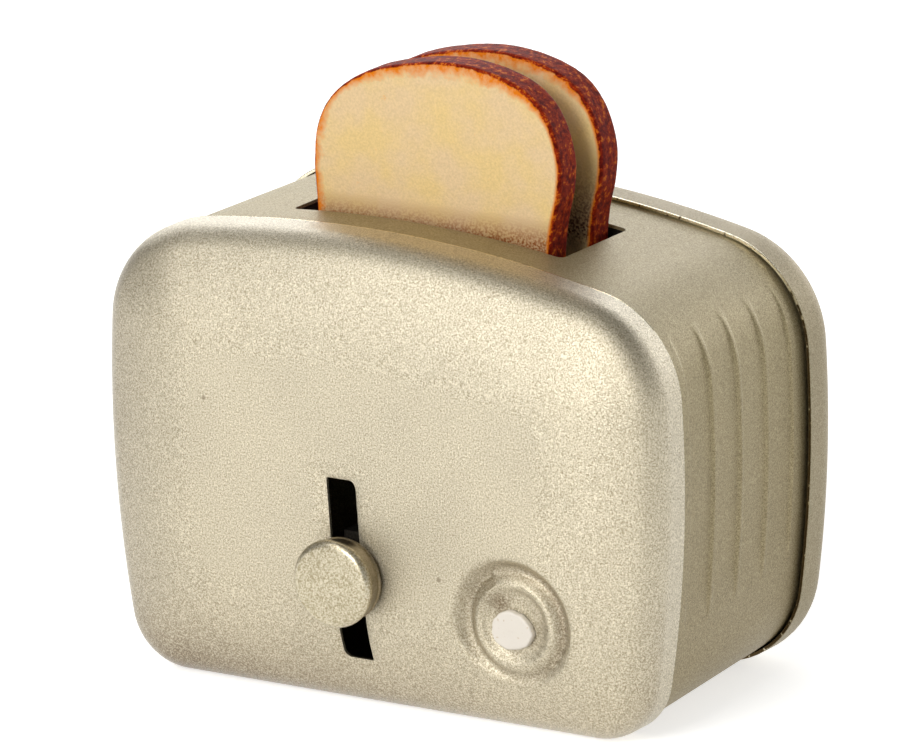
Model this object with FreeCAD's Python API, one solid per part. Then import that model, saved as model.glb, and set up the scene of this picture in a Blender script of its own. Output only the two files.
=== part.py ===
import FreeCAD, Part
import math
import os

# Toy toaster of pressed tinplate, in millimetres.
# Two drawn caps stand front and rear on a wrapped band. A lever in the front cap lifts a
# folded carriage that carries two slices of toy bread in a sheet well under the top opening.
# While it is drawn the body is centred on x = 0 and y = 0. Its front looks along -Y, +X is to
# the right seen from the front, and the caps' skirts stand on z = 0. The last step moves
# everything along Y, so that the origin is the middle of the whole toy's footprint.

V = FreeCAD.Vector
X_AXIS = V(1, 0, 0)
Y_AXIS = V(0, 1, 0)
Z_AXIS = V(0, 0, 1)

# Body outline, seen from the front
body_width = 55.0
body_height = 40.5
crown_x = -4.74
crown_radius = 115.0
side_radius = 112.0
side_widest_z = 23.2
front_high_corner = 9.2
front_low_corner = 5.6
rear_high_corner = 9.8
rear_low_corner = 8.7
least_corner_radius = 3.0

# Sheet thicknesses
cap_sheet = 0.3
band_sheet = 0.3
well_sheet = 0.3
carriage_sheet = 0.3
arm_sheet = 0.4
spring_sheet = 0.12

# Caps: a straight skirt, a round edge and a gentle pillow to the flat middle
skirt_length = 2.0
edge_radius = 3.2
edge_angle = 65.0
pillow_radius = 21.3
loft_angles = (0, 16, 33, 49, 65, 72, 79, 85, 90)

# Band between the caps: close in the front cap, looser in the rear cap
band_shown = 20.8
band_lap = 1.5
band_front_gap = 0.05
band_side_gap = 0.4
band_top_gap = 0.06
band_bottom_gap = 0.05

# Lap under the band and its rivets
lap_seam_x = -4.0
lap_seam_width = 8.0
lap_seam_slit = 0.15
lap_step_width = 1.5
lap_gap = 0.03
rivet_radius = 0.7
rivet_head_radius = 1.2
rivet_head_height = 0.25
rivet_clearance = 0.02
seam_rivet_spacing = 12.0

# Flutes pressed into both sides of the band, from front to rear
flute_count = 4
flute_low_z = 8.9
flute_low_step = 0.43
flute_top_drop = 5.9
flute_pitch = 4.45
flute_offset_y = -0.1
flute_width = 4.05
flute_depth = 0.3

# Bread opening in the top, and the well below it
opening_left = -13.6
opening_right = 13.1
opening_front = -5.8
opening_rear = 4.9
opening_corner = 0.6
well_spare = 1.75
well_flange = 1.6
well_top_gap = 0.05

# Lever slot, punched a little out of true
slot_centre_x = -1.62
slot_centre_z = 12.55
slot_width = 2.85
slot_length = 15.8
slot_lean = 3.2
slot_round = 0.7
slot_sharp = 0.15

# Dial pressed into the front: rim, groove, ridge and flat dish
dial_x = 14.6
dial_z = 10.0
dial_radius = 5.85
dial_rim_radius = 5.45
dial_rim_depth = 0.4
dial_rim_slope = 1.6
dial_groove_radius = 4.65
dial_groove_depth = 1.0
dial_ridge_radius = 3.5
dial_ridge_depth = 0.42
dial_dish_radius = 2.65
dial_dish_depth = 0.9
dial_run_out = 0.3

# Enamel bead in the dial, a little off its middle
bead_offset_x = -0.25
bead_offset_z = -0.5
bead_half_width = 1.98
bead_half_height = 1.66
bead_thickness = 0.55
bead_edge = 0.2
bead_seat_gap = 0.02

# Lever knob and stem
stem_x = -1.4
stem_z = 12.1
stem_radius = 0.7
stem_clearance = 0.05
stem_head_radius = 1.3
stem_head_height = 0.5
knob_gap = 0.45
knob_thickness = 2.65
knob_face_radius = 3.8
knob_back_radius = 3.5
knob_brim_radius = 3.6
knob_brim_thickness = 0.25
knob_dome = 0.2
knob_edge = 0.65
hub_radius = 1.95
hub_gap = 0.05
knob_bore_depth = 1.6
stem_end_gap = 0.05

# Lever travel from where it rests
lever_down = 5.5
lever_up = 6.0

# Bread slices; the rear one stands a little to the right and is a little lower
bread_thickness = 3.1
bread_gap = 3.0
bread_front_space = 0.7
bread_rear_shift = 0.35
bread_rear_lower = 0.2
bread_left = -11.95
bread_width = 24.45
bread_height = 24.45
bread_sunk = 10.9
bread_foot_left = 0.018
bread_foot_right = 0.939
bread_low_corner = 1.0
bread_edge = 0.5
bread_seat_gap = 0.05

# Points along a slice's crust, as shares of its width and height
bread_crust = (
    (0.006, 0.466), (0.0, 0.589), (0.018, 0.728), (0.090, 0.845), (0.227, 0.935),
    (0.409, 0.984), (0.579, 1.0), (0.738, 0.980), (0.873, 0.926), (0.957, 0.834),
    (1.0, 0.703), (1.0, 0.589), (0.969, 0.458),
)

# Carriage
tray_end_gap = 0.3
tray_lip_height = 3.0
tray_side_gap = 0.1
tab_width = 5.0
tab_length = 5.0

# Lever arm, its rivets and the friction spring
arm_width = 3.0
arm_rise = 3.0
arm_drop = 2.3
arm_front_gap = 1.55
arm_side_gap = 0.3
arm_rivet_radius = 0.5
arm_rivet_head_radius = 0.85
arm_rivet_head_height = 0.25
arm_rivet_spacing = 2.4
spring_length = 11.0
spring_height = 1.6
spring_tip_gap = 0.02

# How far cutting tools reach past what they cut
over = 1.0

# Values worked out from the ones above
half_shown = band_shown / 2
half_band = half_shown + band_lap


def cap_point(angle, skin):
    """Inset from the outline and depth from the skirt's mouth, skin mm inside the cap's face."""
    edge = math.radians(edge_angle)
    turn = math.radians(angle)
    inset_centre = edge_radius
    depth_centre = skirt_length
    radius = edge_radius
    if angle > edge_angle:
        inset_centre += (pillow_radius - edge_radius) * math.cos(edge)
        depth_centre -= (pillow_radius - edge_radius) * math.sin(edge)
        radius = pillow_radius
    inset = inset_centre - (radius - skin) * math.cos(turn)
    depth = depth_centre + (radius - skin) * math.sin(turn)
    return inset, depth


cap_depth = cap_point(90, 0)[1]
cap_reach = half_shown + cap_depth
face_y = -cap_reach
knob_back_y = face_y - knob_gap
knob_front_y = knob_back_y - knob_thickness
arm_front_y = face_y + cap_sheet + arm_front_gap
band_low_z = cap_sheet + band_bottom_gap

# Forms of an outline: width, top, bottom, upper corner radius and lower corner radius
front_form = (body_width, body_height, 0, front_high_corner, front_low_corner)
rear_form = (body_width, body_height, 0, rear_high_corner, rear_low_corner)
front_inset = cap_sheet + band_front_gap
band_front_form = (
    body_width - 2 * front_inset,
    body_height - front_inset,
    band_low_z,
    front_high_corner - front_inset,
    front_low_corner - front_inset,
)
band_rear_form = (
    body_width - 2 * (cap_sheet + band_side_gap),
    body_height - cap_sheet - band_top_gap,
    band_low_z,
    rear_high_corner - cap_sheet - band_top_gap,
    rear_low_corner - cap_sheet - band_bottom_gap,
)

# Places of the moving parts
bread_bottom_z = body_height - bread_sunk
bread_front_y = opening_front + bread_front_space
tray_top_z = bread_bottom_z - bread_seat_gap
tray_low_z = tray_top_z - carriage_sheet
tray_front_y = bread_front_y - tray_side_gap - carriage_sheet
bread_rear_y = bread_front_y + bread_thickness + bread_gap
tray_rear_y = bread_rear_y + bread_thickness + tray_side_gap + carriage_sheet
arm_back_y = tray_front_y - spring_sheet
arm_bend_z = stem_z + arm_rise
rivet_row_z = tray_low_z - tab_length / 2
well_bottom_z = tray_low_z - tab_length - lever_down - well_spare
seam_rivet_x = lap_seam_x + lap_seam_slit + lap_seam_width / 2


def box(x0, x1, y0, y1, z0, z1):
    """Box between two corners."""
    return Part.makeBox(x1 - x0, y1 - y0, z1 - z0, V(x0, y0, z0))


def rod(centre, radius, y0, y1):
    """Round rod along Y about the axis through centre, which is (x, z)."""
    return Part.makeCylinder(radius, y1 - y0, V(centre[0], y0, centre[1]), Y_AXIS)


def toward(start, through, distance):
    """Point at a distance from start, in the direction of through."""
    way = through - start
    return start + way * (distance / way.Length)


def upper_meeting(centre_a, reach_a, centre_b, reach_b):
    """Upper point that lies reach_a from centre_a and reach_b from centre_b, in the XZ plane."""
    link = centre_b - centre_a
    span = link.Length
    along = (reach_a ** 2 - reach_b ** 2 + span ** 2) / (2 * span)
    across = math.sqrt(reach_a ** 2 - along ** 2)
    unit = link * (1 / span)
    left = centre_a + unit * along + V(-unit.z, 0, unit.x) * across
    right = centre_a + unit * along - V(-unit.z, 0, unit.x) * across
    return left if left.z > right.z else right


def mirrored(point):
    """Point on the other side of x = 0."""
    return V(-point.x, point.y, point.z)


def arc(start, middle, end):
    """Circular edge through three points."""
    return Part.Arc(start, middle, end).toShape()


def half_outline(form, inset, lean, y):
    """Arc points of the right half of an outline whose crown is at x = lean, from the top."""
    width, top, bottom, high_corner, low_corner = form
    crown = crown_radius - inset
    side = side_radius - inset
    floor = bottom + inset
    high = max(high_corner - inset, least_corner_radius)
    low = max(low_corner - inset, least_corner_radius)
    crown_centre = V(lean, y, top - crown_radius)
    side_centre = V(width / 2 - side_radius, y, side_widest_z)
    high_centre = upper_meeting(crown_centre, crown - high, side_centre, side - high)
    rise = side_widest_z - floor - low
    low_centre = V(side_centre.x + math.sqrt((side - low) ** 2 - rise ** 2), y, floor + low)
    crown_end = toward(crown_centre, high_centre, crown)
    side_top = toward(side_centre, high_centre, side)
    side_low = toward(side_centre, low_centre, side)
    floor_end = V(low_centre.x, y, floor)
    high_middle = toward(high_centre, (crown_end + side_top) * 0.5, high)
    side_middle = side_centre + X_AXIS * side
    low_middle = toward(low_centre, (side_low + floor_end) * 0.5, low)
    return [crown_end, high_middle, side_top, side_middle, side_low, low_middle, floor_end]


def outline(form, inset, y):
    """Closed outline of a form at depth y, drawn inset mm inside it."""
    right = half_outline(form, inset, crown_x, y)
    left = [mirrored(point) for point in half_outline(form, inset, -crown_x, y)]
    edges = [
        arc(left[0], V(crown_x, y, form[1] - inset), right[0]),
        arc(right[0], right[1], right[2]),
        arc(right[2], right[3], right[4]),
        arc(right[4], right[5], right[6]),
        Part.makeLine(right[6], left[6]),
        arc(left[6], left[5], left[4]),
        arc(left[4], left[3], left[2]),
        arc(left[2], left[1], left[0]),
    ]
    return Part.Wire(edges)


def band_form(y):
    """Form of the band's outside at depth y, worked out between its two ends."""
    share = (y + half_band) / (2 * half_band)
    return [a + (b - a) * share for a, b in zip(band_front_form, band_rear_form)]


def cap_block(form, skin):
    """Front cap of a form as a full block, skin mm inside its outer face."""
    face = Part.Face(outline(form, skin, -half_shown))
    skirt = face.extrude(V(0, -skirt_length, 0))
    rings = []
    for angle in loft_angles:
        inset, depth = cap_point(angle, skin)
        rings.append(outline(form, inset, -half_shown - depth))
    return skirt.fuse(Part.makeLoft(rings, True))


def dial_tool(grow):
    """Turned tool that presses the dial; grow adds the sheet's thickness for the inner face."""
    spots = [
        (dial_radius + grow, -dial_run_out),
        (dial_rim_radius + grow, dial_rim_depth),
        (dial_groove_radius, dial_groove_depth),
        (dial_ridge_radius, dial_ridge_depth),
        (dial_dish_radius, dial_dish_depth),
    ]
    points = [V(dial_x + radius, face_y + depth + grow, dial_z) for radius, depth in spots]
    curve = Part.BSplineCurve()
    curve.interpolate(points, InitialTangent=V(-1, dial_rim_slope, 0), FinalTangent=V(-1, 0, 0))
    dish_centre = V(dial_x, points[-1].y, dial_z)
    front_hub = V(dial_x, face_y - over, dial_z)
    front_rim = V(points[0].x, face_y - over, dial_z)
    edges = [
        curve.toShape(),
        Part.makeLine(points[-1], dish_centre),
        Part.makeLine(dish_centre, front_hub),
        Part.makeLine(front_hub, front_rim),
        Part.makeLine(front_rim, points[0]),
    ]
    face = Part.Face(Part.Wire(edges))
    return face.revolve(V(dial_x, 0, dial_z), Y_AXIS, 360)


def rounded_polygon(corners, radii, y):
    """Closed wire in the XZ plane with each corner rounded by its own radius."""
    edges = []
    joints = []
    count = len(corners)
    for i in range(count):
        here = V(corners[i][0], y, corners[i][1])
        before = V(corners[i - 1][0], y, corners[i - 1][1])
        after = V(corners[(i + 1) % count][0], y, corners[(i + 1) % count][1])
        half = (before - here).getAngle(after - here) / 2
        reach = radii[i] / math.tan(half)
        start = toward(here, before, reach)
        end = toward(here, after, reach)
        centre = toward(here, (start + end) * 0.5, radii[i] / math.sin(half))
        joints.append((start, toward(centre, here, radii[i]), end))
    for i in range(count):
        start, middle, end = joints[i]
        edges.append(arc(start, middle, end))
        edges.append(Part.makeLine(end, joints[(i + 1) % count][0]))
    return Part.Wire(edges)


def slot_tool():
    """Lever slot: a leaning parallelogram, round at two corners."""
    lean = math.tan(math.radians(slot_lean)) * slot_length / 2
    half = slot_width / 2 / math.cos(math.radians(slot_lean))
    low_z = slot_centre_z - slot_length / 2
    high_z = slot_centre_z + slot_length / 2
    corners = [
        (slot_centre_x + lean - half, low_z),
        (slot_centre_x + lean + half, low_z),
        (slot_centre_x - lean + half, high_z),
        (slot_centre_x - lean - half, high_z),
    ]
    radii = (slot_round, slot_sharp, slot_round, slot_sharp)
    wire = rounded_polygon(corners, radii, face_y - over)
    return Part.Face(wire).extrude(V(0, over + cap_depth, 0))


def front_shell():
    """Front cap with the pressed dial and the lever slot."""
    outside = cap_block(front_form, 0).cut(dial_tool(0))
    inside = cap_block(front_form, cap_sheet).cut(dial_tool(cap_sheet))
    return outside.cut(inside).cut(slot_tool())


def rear_shell():
    """Rear cap, plain, with rounder corners; built like the front one and turned to the back."""
    cap = cap_block(rear_form, 0).cut(cap_block(rear_form, cap_sheet))
    return cap.mirror(V(0, 0, 0), Y_AXIS)


def flute_tool(y, low_z, lean, grow):
    """Round-nosed rod along a right side; grow adds the sheet's thickness for the inner face."""
    width, top, bottom, high_corner, low_corner = band_form(y)
    radius = ((flute_width / 2) ** 2 + flute_depth ** 2) / (2 * flute_depth)
    stand = radius - flute_depth
    size = radius + grow
    crown_centre = V(lean, y, top - crown_radius)
    side_centre = V(width / 2 - side_radius, y, side_widest_z)
    corner_centre = upper_meeting(
        crown_centre, crown_radius - high_corner, side_centre, side_radius - high_corner
    )
    low_turn = math.asin((low_z - side_widest_z) / side_radius)
    joint_way = corner_centre - side_centre
    joint_turn = math.atan2(joint_way.z, joint_way.x)
    high_turn = math.asin((body_height - flute_top_drop - corner_centre.z) / high_corner)
    side_reach = side_radius + stand
    corner_reach = high_corner + stand

    def spot(centre, reach, turn):
        return centre + V(math.cos(turn), 0, math.sin(turn)) * reach

    def bend(centre, reach, start, end):
        place = spot(centre, reach, start)
        along = V(-math.sin(start), 0, math.cos(start))
        disc = Part.Face(Part.Wire(Part.makeCircle(size, place, along)))
        return disc.revolve(centre, Y_AXIS, -math.degrees(end - start))

    straight = bend(side_centre, side_reach, low_turn, joint_turn)
    shoulder = bend(corner_centre, corner_reach, joint_turn, high_turn)
    low_nose = Part.makeSphere(size, spot(side_centre, side_reach, low_turn))
    high_nose = Part.makeSphere(size, spot(corner_centre, corner_reach, high_turn))
    return [straight, shoulder, low_nose, high_nose]


def band_block(inset, half_length):
    """Band as a full block, inset mm inside its outer face."""
    ends = [outline(band_form(y), inset, y) for y in (-half_length, half_length)]
    return Part.makeLoft(ends, True, True)


def fluted_block(inset, half_length, grow):
    """Band as a full block, with the flutes pressed into its two sides."""
    block = band_block(inset, half_length)
    for index in range(flute_count):
        low_z = flute_low_z + index * flute_low_step
        y = flute_offset_y + (index - (flute_count - 1) / 2) * flute_pitch
        for piece in flute_tool(y, low_z, crown_x, grow):
            block = block.cut(piece)
        for piece in flute_tool(y, low_z, -crown_x, grow):
            block = block.cut(piece.mirror(V(0, 0, 0), X_AXIS))
    return block


def opening_tool():
    """Bread opening, cut down through the top of the band."""
    outer = box(opening_left, opening_right, opening_front, opening_rear,
                body_height / 2, body_height + over)
    upright = [edge for edge in outer.Edges if abs(edge.tangentAt(edge.FirstParameter).z) > 0.9]
    return outer.makeFillet(opening_corner, upright)


def seam_rivet_spots():
    """Places of the two rivets along the lap under the body."""
    return [-seam_rivet_spacing / 2, seam_rivet_spacing / 2]


def body_band():
    """Wrapped band: a fluted tube of sheet with the bread opening and a riveted lap below."""
    outside = fluted_block(0, half_band, 0)
    inside = fluted_block(band_sheet, half_band + over, band_sheet)
    upper_z = band_low_z + band_sheet
    tongue_z = upper_z + lap_gap
    step_x = lap_seam_x - lap_step_width
    slit = box(lap_seam_x, lap_seam_x + lap_seam_slit, -half_band - over, half_band + over,
               band_low_z - over, upper_z)
    step = box(step_x, lap_seam_x, -half_band, half_band, band_low_z, tongue_z + band_sheet)
    tongue = box(step_x, lap_seam_x + lap_seam_width, -half_band, half_band,
                 tongue_z, tongue_z + band_sheet)
    band = outside.cut(inside).cut(slit).cut(opening_tool()).fuse([step, tongue])
    for y in seam_rivet_spots():
        hole = Part.makeCylinder(rivet_radius + rivet_clearance, over + 2 * tongue_z,
                                 V(seam_rivet_x, y, band_low_z - over), Z_AXIS)
        band = band.cut(hole)
    return band.removeSplitter()


def seam_rivets():
    """Two rivets that close the lap under the band."""
    low_z = band_low_z
    high_z = low_z + 2 * band_sheet + lap_gap
    rivets = []
    for y in seam_rivet_spots():
        shank = Part.makeCylinder(rivet_radius, high_z - low_z, V(seam_rivet_x, y, low_z), Z_AXIS)
        lower = Part.makeCylinder(rivet_head_radius, rivet_head_height,
                                  V(seam_rivet_x, y, low_z - rivet_head_height), Z_AXIS)
        upper = Part.makeCylinder(rivet_head_radius, rivet_head_height,
                                  V(seam_rivet_x, y, high_z), Z_AXIS)
        rivets.append(shank.fuse([lower, upper]).removeSplitter())
    return Part.makeCompound(rivets)


def under_top(gap):
    """Space inside the band, gap mm clear of its inner face."""
    return band_block(band_sheet + gap, half_band)


def well_box(grow, low_z):
    """Upright box of the well's inside, grown sideways."""
    return box(opening_left - grow, opening_right + grow, opening_front - grow,
               opening_rear + grow, low_z, body_height + over)


def bread_well():
    """Sheet sleeve under the bread opening, with two flanges against the top and a lever slit."""
    hollow = well_box(0, well_bottom_z - over)
    walls = well_box(well_sheet, well_bottom_z).common(under_top(well_top_gap))
    layer = under_top(well_top_gap).cut(under_top(well_top_gap + well_sheet))
    flange = box(opening_left - well_sheet, opening_right + well_sheet,
                 opening_front - well_flange, opening_rear + well_flange,
                 body_height / 2, body_height).common(layer)
    slit_half = arm_width / 2 + arm_side_gap
    slit_top = tray_low_z + lever_up + arm_side_gap
    slit = box(stem_x - slit_half, stem_x + slit_half, opening_front - 2 * well_sheet,
               opening_front + well_sheet, well_bottom_z - over, slit_top)
    return walls.fuse(flange).cut(hollow).cut(slit).removeSplitter()


def arm_rivet_spots():
    """Places of the rivets across the carriage's tab, as (x, z)."""
    return [(stem_x, rivet_row_z - arm_rivet_spacing / 2), (stem_x, rivet_row_z + arm_rivet_spacing / 2)]


def bread_carriage():
    """Folded tray with a trough for each slice, a raised fold between them and a tab in front."""
    left = opening_left + tray_end_gap
    right = opening_right - tray_end_gap
    lip_z = tray_top_z + tray_lip_height
    fold_front = bread_front_y + bread_thickness + tray_side_gap
    fold_rear = fold_front + bread_gap - 2 * tray_side_gap
    pieces = [
        box(left, right, tray_front_y, fold_front + carriage_sheet, tray_low_z, tray_top_z),
        box(left, right, fold_rear - carriage_sheet, tray_rear_y, tray_low_z, tray_top_z),
        box(left, right, tray_front_y, tray_front_y + carriage_sheet, tray_low_z, lip_z),
        box(left, right, tray_rear_y - carriage_sheet, tray_rear_y, tray_low_z, lip_z),
        box(left, right, fold_front, fold_front + carriage_sheet, tray_low_z, lip_z),
        box(left, right, fold_rear - carriage_sheet, fold_rear, tray_low_z, lip_z),
        box(left, right, fold_front, fold_rear, lip_z - carriage_sheet, lip_z),
        box(stem_x - tab_width / 2, stem_x + tab_width / 2, tray_front_y,
            tray_front_y + carriage_sheet, tray_low_z - tab_length, tray_top_z),
    ]
    tray = pieces[0].fuse(pieces[1:])
    for spot in arm_rivet_spots():
        hole = rod(spot, arm_rivet_radius + rivet_clearance, tray_front_y - over, tray_front_y + over)
        tray = tray.cut(hole)
    return tray.removeSplitter()


def lever_arm():
    """Bent strip from the carriage's tab forward to the stem behind the slot."""
    left = stem_x - arm_width / 2
    right = stem_x + arm_width / 2
    front_y = arm_front_y
    pieces = [
        box(left, right, arm_back_y - arm_sheet, arm_back_y, arm_bend_z, tray_low_z),
        box(left, right, front_y, arm_back_y, arm_bend_z, arm_bend_z + arm_sheet),
        box(left, right, front_y, front_y + arm_sheet, stem_z - arm_drop, arm_bend_z + arm_sheet),
    ]
    strip = pieces[0].fuse(pieces[1:])
    strip = strip.cut(rod((stem_x, stem_z), stem_radius + stem_clearance, front_y - over, front_y + over))
    for spot in arm_rivet_spots():
        hole = rod(spot, arm_rivet_radius + rivet_clearance, arm_back_y - over, arm_back_y + over)
        strip = strip.cut(hole)
    return strip.removeSplitter()


def friction_spring():
    """Bowed leaf between tab and arm; its wings rub on the well's front wall."""
    back_y = tray_front_y
    tip_y = opening_front + spring_tip_gap
    half = spring_length / 2
    flat = arm_width / 2
    low_z = rivet_row_z - spring_height / 2
    points = [
        V(stem_x - half, tip_y + spring_sheet, low_z),
        V(stem_x - flat, back_y, low_z),
        V(stem_x + flat, back_y, low_z),
        V(stem_x + half, tip_y + spring_sheet, low_z),
        V(stem_x + half, tip_y, low_z),
        V(stem_x + flat, back_y - spring_sheet, low_z),
        V(stem_x - flat, back_y - spring_sheet, low_z),
        V(stem_x - half, tip_y, low_z),
    ]
    leaf = Part.Face(Part.makePolygon(points + [points[0]])).extrude(V(0, 0, spring_height))
    ears = box(stem_x - flat, stem_x + flat, back_y - spring_sheet, back_y,
               rivet_row_z - tab_length / 2, rivet_row_z + tab_length / 2)
    leaf = leaf.fuse(ears)
    for spot in arm_rivet_spots():
        hole = rod(spot, arm_rivet_radius + rivet_clearance, back_y - over, back_y + over)
        leaf = leaf.cut(hole)
    return leaf.removeSplitter()


def arm_rivets():
    """Two rivets that clamp the arm and the spring to the carriage's tab."""
    front_y = arm_back_y - arm_sheet
    rear_y = tray_front_y + carriage_sheet
    rivets = []
    for spot in arm_rivet_spots():
        shank = rod(spot, arm_rivet_radius, front_y, rear_y)
        head = rod(spot, arm_rivet_head_radius, front_y - arm_rivet_head_height, front_y)
        tail = rod(spot, arm_rivet_head_radius, rear_y, rear_y + arm_rivet_head_height)
        rivets.append(shank.fuse([head, tail]).removeSplitter())
    return Part.makeCompound(rivets)


def lever_knob():
    """Domed button with a thin brim at the back and a hub that bears beside the slot."""
    front = knob_front_y
    rim_y = front + knob_dome
    side_y = rim_y + knob_edge
    brim_y = knob_back_y - knob_brim_thickness
    centre = V(stem_x, 0, stem_z)
    rim_radius = knob_face_radius - knob_edge

    def at(radius, y):
        return V(stem_x + radius, y, stem_z)

    dome_mid = at(rim_radius * 0.5, front + knob_dome * 0.25)
    edge_mid = at(rim_radius + knob_edge * 0.7, rim_y + knob_edge * 0.3)
    edges = [
        arc(at(0, front), dome_mid, at(rim_radius, rim_y)),
        arc(at(rim_radius, rim_y), edge_mid, at(knob_face_radius, side_y)),
        Part.makeLine(at(knob_face_radius, side_y), at(knob_back_radius, brim_y)),
        Part.makeLine(at(knob_back_radius, brim_y), at(knob_brim_radius, brim_y)),
        Part.makeLine(at(knob_brim_radius, brim_y), at(knob_brim_radius, knob_back_y)),
        Part.makeLine(at(knob_brim_radius, knob_back_y), at(hub_radius, knob_back_y)),
        Part.makeLine(at(hub_radius, knob_back_y), at(hub_radius, face_y - hub_gap)),
        Part.makeLine(at(hub_radius, face_y - hub_gap), at(0, face_y - hub_gap)),
        Part.makeLine(at(0, face_y - hub_gap), at(0, front)),
    ]
    knob = Part.Face(Part.Wire(edges)).revolve(centre, Y_AXIS, 360)
    bore = rod((stem_x, stem_z), stem_radius + rivet_clearance, knob_back_y - knob_bore_depth, face_y)
    return knob.cut(bore)


def lever_stem():
    """Pin from the knob through the slot to the lever arm, with a riveted head behind the arm."""
    start_y = knob_back_y - knob_bore_depth + stem_end_gap
    head_y = arm_front_y + arm_sheet
    pin = rod((stem_x, stem_z), stem_radius, start_y, head_y)
    head = rod((stem_x, stem_z), stem_head_radius, head_y, head_y + stem_head_height)
    return pin.fuse(head).removeSplitter()


def dial_bead():
    """Dab of enamel in the dial's dish, with an uneven edge."""
    seat_y = face_y + dial_dish_depth - bead_seat_gap
    centre_x = dial_x + bead_offset_x
    centre_z = dial_z + bead_offset_z
    steps = 28
    points = []
    for step in range(steps):
        turn = 2 * math.pi * step / steps
        swell = 1 + 0.03 * math.cos(3 * turn + 0.6) + 0.025 * math.cos(7 * turn)
        points.append(V(centre_x + bead_half_width * swell * math.cos(turn), seat_y,
                        centre_z + bead_half_height * swell * math.sin(turn)))
    curve = Part.BSplineCurve()
    curve.interpolate(points, PeriodicFlag=True)
    dab = Part.Face(Part.Wire(curve.toShape())).extrude(V(0, -bead_thickness, 0))
    front_edges = [edge for edge in dab.Edges if edge.BoundBox.YMax < seat_y - bead_thickness / 2]
    return dab.makeFillet(bead_edge, front_edges)


def bread_slice(front_y, shift_x, lower):
    """One slice: domed loaf outline with a rounded crust edge on both faces."""
    low = bread_bottom_z
    foot_left = bread_left + bread_foot_left * bread_width
    foot_right = bread_left + bread_foot_right * bread_width
    points = []
    for across, up in bread_crust:
        points.append(V(bread_left + across * bread_width, front_y, low + up * bread_height - lower))
    left_foot = V(foot_left, front_y, low + bread_low_corner)
    left_sole = V(foot_left + bread_low_corner, front_y, low)
    right_foot = V(foot_right, front_y, low + bread_low_corner)
    right_sole = V(foot_right - bread_low_corner, front_y, low)
    bulge = bread_low_corner * (1 - math.sqrt(0.5))
    left_mid = V(foot_left + bulge, front_y, low + bulge)
    right_mid = V(foot_right - bulge, front_y, low + bulge)
    curve = Part.BSplineCurve()
    curve.interpolate(points, InitialTangent=points[0] - left_foot, FinalTangent=right_foot - points[-1])
    edges = [
        Part.makeLine(left_foot, points[0]),
        curve.toShape(),
        Part.makeLine(points[-1], right_foot),
        arc(right_foot, right_mid, right_sole),
        Part.makeLine(right_sole, left_sole),
        arc(left_sole, left_mid, left_foot),
    ]
    loaf = Part.Face(Part.Wire(edges)).extrude(V(0, bread_thickness, 0))
    rims = [edge for edge in loaf.Edges if edge.BoundBox.YLength < bread_edge]
    return loaf.makeFillet(bread_edge, rims).translated(V(shift_x, 0, 0))


pieces = {
    "front_shell": front_shell(),
    "rear_shell": rear_shell(),
    "body_band": body_band(),
    "seam_rivets": seam_rivets(),
    "bread_well": bread_well(),
    "bread_carriage": bread_carriage(),
    "lever_arm": lever_arm(),
    "friction_spring": friction_spring(),
    "arm_rivets": arm_rivets(),
    "lever_stem": lever_stem(),
    "lever_knob": lever_knob(),
    "dial_bead": dial_bead(),
    "bread_slice_front": bread_slice(bread_front_y, 0, 0),
    "bread_slice_rear": bread_slice(bread_rear_y, bread_rear_shift, bread_rear_lower),
}

# The footprint runs from the knob's face to the rear cap, and its middle is the origin.
centring = V(0, (-knob_front_y - cap_reach) / 2, 0)

os.makedirs("parts", exist_ok=True)
for name, shape in pieces.items():
    placed = shape.translated(centring)
    placed.exportStep("parts/" + name + ".step")
    extent = placed.BoundBox
    print(name, "solids", len(placed.Solids), "valid", placed.isValid(),
          "volume", round(placed.Volume, 3),
          "x", round(extent.XMin, 2), round(extent.XMax, 2),
          "y", round(extent.YMin, 2), round(extent.YMax, 2),
          "z", round(extent.ZMin, 2), round(extent.ZMax, 2))
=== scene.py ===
# %% [markdown]
# # Toy toaster of sprayed tinplate
#
# The real toy is a doll's house toaster, 55 mm wide. Two drawn caps of thin tinned sheet close
# the ends of a wrapped middle. A round button on the front slides in a slot and lifts two
# slices of toy bread. The measured solids come in as a fixed frame, one object for each piece,
# and this lesson dresses them: the curved sheet is modelled again as fine smooth meshes of the
# same shape, and every finish is made from shader nodes.

# %% Bring in the frame
import bpy
import bmesh
import math
from mathutils import Matrix, Vector, noise
from mathutils.kdtree import KDTree


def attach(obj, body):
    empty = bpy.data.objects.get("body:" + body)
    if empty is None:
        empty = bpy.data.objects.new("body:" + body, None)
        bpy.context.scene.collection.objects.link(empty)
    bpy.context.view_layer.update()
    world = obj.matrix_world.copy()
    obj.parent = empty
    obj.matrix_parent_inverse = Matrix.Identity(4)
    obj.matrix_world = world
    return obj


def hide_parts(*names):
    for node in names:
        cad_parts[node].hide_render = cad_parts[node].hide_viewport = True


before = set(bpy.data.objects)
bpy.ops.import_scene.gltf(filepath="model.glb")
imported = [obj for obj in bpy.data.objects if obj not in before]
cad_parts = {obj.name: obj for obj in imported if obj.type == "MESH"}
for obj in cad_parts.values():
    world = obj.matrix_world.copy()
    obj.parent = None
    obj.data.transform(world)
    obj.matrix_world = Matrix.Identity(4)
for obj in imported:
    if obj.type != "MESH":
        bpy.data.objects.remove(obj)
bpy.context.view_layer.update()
print("pieces in the frame:", sorted(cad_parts))

# %% [markdown]
# The toy is easiest to draw in millimetres with its body centred on x = 0 and y = 0. The frame
# is in metres and has its origin under the middle of the whole toy, button included, which lies
# 1.55 mm further forward. One helper makes every object: it moves the drawn mesh to the frame's
# place and size, smooths its faces and keeps sharp only the edges that a bend really has.

# %% One helper for every modelled piece
MM = 0.001
FRAME_SHIFT = Vector((0, 1.55, 0))


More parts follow.
